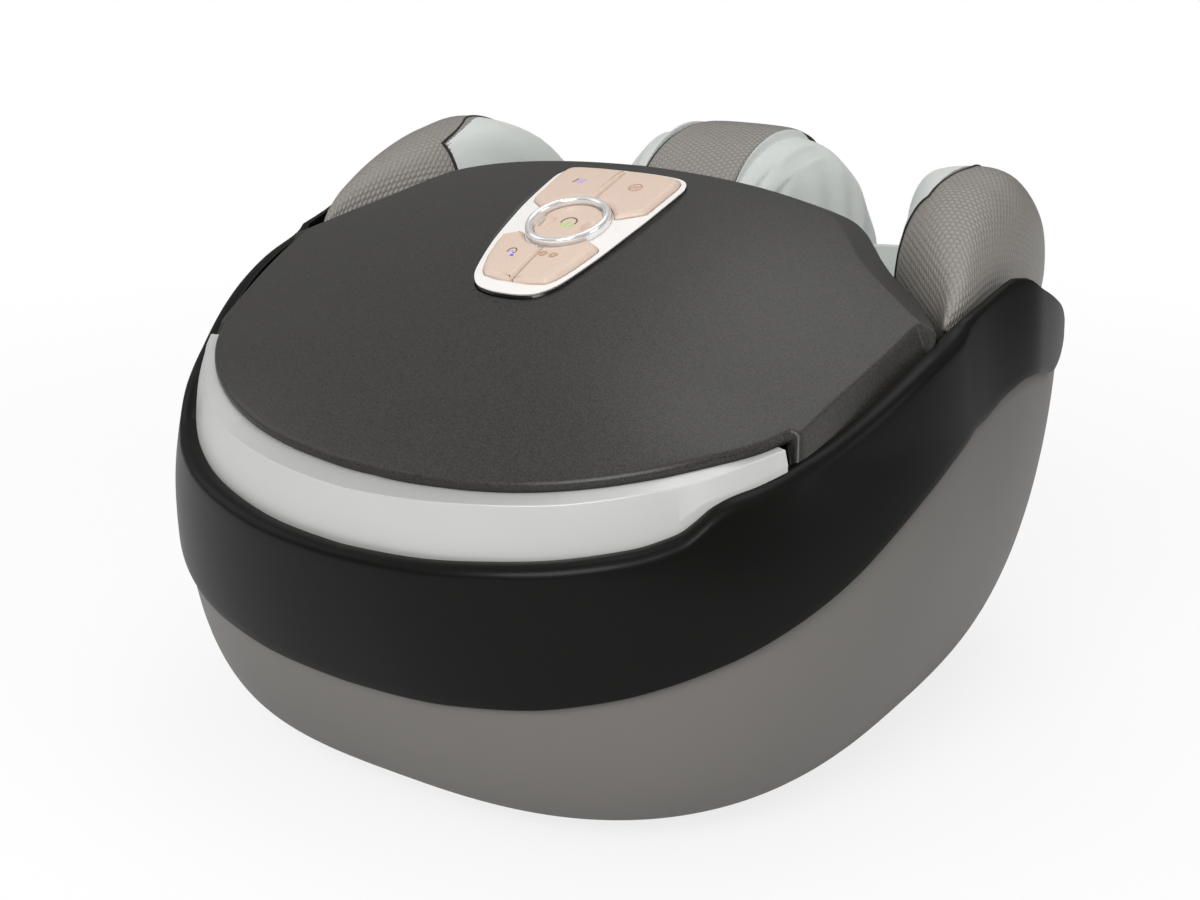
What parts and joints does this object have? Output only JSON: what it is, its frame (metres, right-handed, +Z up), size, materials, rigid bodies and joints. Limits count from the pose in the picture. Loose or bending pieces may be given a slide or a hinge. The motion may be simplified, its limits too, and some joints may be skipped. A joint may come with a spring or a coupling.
{
  "type": "shiatsu foot massager",
  "caption": "Domed foot massager with boot-shaped foot wells between padded calf rests, kneading heads under the soles and a sloping key panel.",
  "frame": {"origin": "on the floor, midway across the width and along the length", "axes": "+X to the right of a person who looks at the machine from its toe end, +Y from the toe end towards the calf end, +Z up"},
  "size_m": [0.4088, 0.4076, 0.2713],
  "materials": {
    "grey_plastic": "warm grey moulded plastic, satin",
    "black_plastic": "near-black moulded plastic, satin",
    "lid_plastic": "charcoal painted plastic with a fine metallic speckle, satin",
    "silver_plastic": "silver painted plastic, satin",
    "white_plastic": "white moulded plastic, semi-gloss",
    "rose_plastic": "rose-beige pearl painted plastic, semi-gloss",
    "chrome_plate": "bright plated plastic",
    "taupe_leather": "taupe synthetic leather embossed with small scales, over foam",
    "white_fabric": "white-grey knitted fabric, padded",
    "black_rubber": "black rubber, matt",
    "steel": "zinc-plated steel",
    "ivory_nylon": "ivory engineering plastic",
    "dark_nylon": "dark grey engineering plastic",
    "board_green": "green circuit board with its parts",
    "heater_foil": "amber heating foil"
  },
  "bodies": {
    "housing": {"lower_shell": "grey_plastic", "mid_band": "black_plastic", "power_inlet": "black_plastic", "top_cover": "lid_plastic", "front_trim": "silver_plastic", "panel_bezel": "white_plastic", "panel_ring": "chrome_plate", "right_side_pad": "taupe_leather", "left_side_pad": "taupe_leather", "centre_pad": "taupe_leather", "right_outer_cuff": "white_fabric", "left_outer_cuff": "white_fabric", "right_inner_cuff": "white_fabric", "left_inner_cuff": "white_fabric", "right_foot_liner": "white_fabric", "left_foot_liner": "white_fabric", "right_front_foot": "black_rubber", "left_front_foot": "black_rubber", "right_middle_foot": "black_rubber", "left_middle_foot": "black_rubber", "right_rear_foot": "black_rubber", "left_rear_foot": "black_rubber", "right_gear_motor": "steel", "left_gear_motor": "steel", "right_front_base_screw": "steel", "left_front_base_screw": "steel", "right_rear_base_screw": "steel", "left_rear_base_screw": "steel", "vibration_motor": "steel", "right_gearbox_base": "dark_nylon", "left_gearbox_base": "dark_nylon", "right_gearbox_cover": "dark_nylon", "left_gearbox_cover": "dark_nylon", "right_motor_saddle": "dark_nylon", "left_motor_saddle": "dark_nylon", "vibration_saddle": "dark_nylon", "inner_deck": "dark_nylon", "control_board": "board_green", "power_board": "board_green", "right_heater_film": "heater_foil", "left_heater_film": "heater_foil"},
    "heat_button": {"heat_button": "rose_plastic"},
    "mode_button": {"mode_button": "rose_plastic"},
    "kneading_button": {"kneading_button": "rose_plastic"},
    "auto_button": {"auto_button": "rose_plastic"},
    "power_button": {"power_button": "rose_plastic"},
    "right_rear_kneader": {"right_rear_gear": "ivory_nylon", "right_rear_kneading_head": "ivory_nylon"},
    "right_front_kneader": {"right_front_gear": "ivory_nylon", "right_front_kneading_head": "ivory_nylon"},
    "right_worm": {"right_worm_shaft": "steel"},
    "left_rear_kneader": {"left_rear_gear": "ivory_nylon", "left_rear_kneading_head": "ivory_nylon"},
    "left_front_kneader": {"left_front_gear": "ivory_nylon", "left_front_kneading_head": "ivory_nylon"},
    "left_worm": {"left_worm_shaft": "steel"},
    "shaker_weight": {"eccentric_weight": "steel"}
  },
  "joints": [
    {"name": "heat_press", "type": "slide", "parent": "housing", "child": "heat_button", "axis": [0, 0.3502, -0.9367], "range_m": [0, 0.0012], "stiffness_N_per_m": 900},
    {"name": "mode_press", "type": "slide", "parent": "housing", "child": "mode_button", "axis": [0, 0.3502, -0.9367], "range_m": [0, 0.0012], "stiffness_N_per_m": 900},
    {"name": "kneading_press", "type": "slide", "parent": "housing", "child": "kneading_button", "axis": [0, 0.3502, -0.9367], "range_m": [0, 0.0012], "stiffness_N_per_m": 900},
    {"name": "auto_press", "type": "slide", "parent": "housing", "child": "auto_button", "axis": [0, 0.3502, -0.9367], "range_m": [0, 0.0012], "stiffness_N_per_m": 900},
    {"name": "power_press", "type": "slide", "parent": "housing", "child": "power_button", "axis": [0, 0.3502, -0.9367], "range_m": [0, 0.0012], "stiffness_N_per_m": 900},
    {"name": "right_rear_spin", "type": "hinge", "parent": "housing", "child": "right_rear_kneader", "pos_m": [0.097, 0.015, 0.045], "axis": [0, 0, 1], "continuous": true},
    {"name": "right_front_spin", "type": "hinge", "parent": "housing", "child": "right_front_kneader", "pos_m": [0.097, -0.075, 0.045], "axis": [0, 0, 1], "continuous": true},
    {"name": "right_worm_spin", "type": "hinge", "parent": "housing", "child": "right_worm", "pos_m": [0.04, 0.015, 0.045], "axis": [0, 1, 0], "continuous": true},
    {"name": "left_rear_spin", "type": "hinge", "parent": "housing", "child": "left_rear_kneader", "pos_m": [-0.097, 0.015, 0.045], "axis": [0, 0, 1], "continuous": true},
    {"name": "left_front_spin", "type": "hinge", "parent": "housing", "child": "left_front_kneader", "pos_m": [-0.097, -0.075, 0.045], "axis": [0, 0, 1], "continuous": true},
    {"name": "left_worm_spin", "type": "hinge", "parent": "housing", "child": "left_worm", "pos_m": [-0.04, 0.015, 0.045], "axis": [0, 1, 0], "continuous": true},
    {"name": "shaker_spin", "type": "hinge", "parent": "housing", "child": "shaker_weight", "pos_m": [0, -0.055, 0.031], "axis": [0, 1, 0], "continuous": true}
  ],
  "couplings": [
    {"joint": "right_front_spin", "follows": "right_rear_spin", "ratio": -1},
    {"joint": "right_worm_spin", "follows": "right_rear_spin", "ratio": 20},
    {"joint": "left_front_spin", "follows": "left_rear_spin", "ratio": -1},
    {"joint": "left_worm_spin", "follows": "left_rear_spin", "ratio": -20}
  ]
}
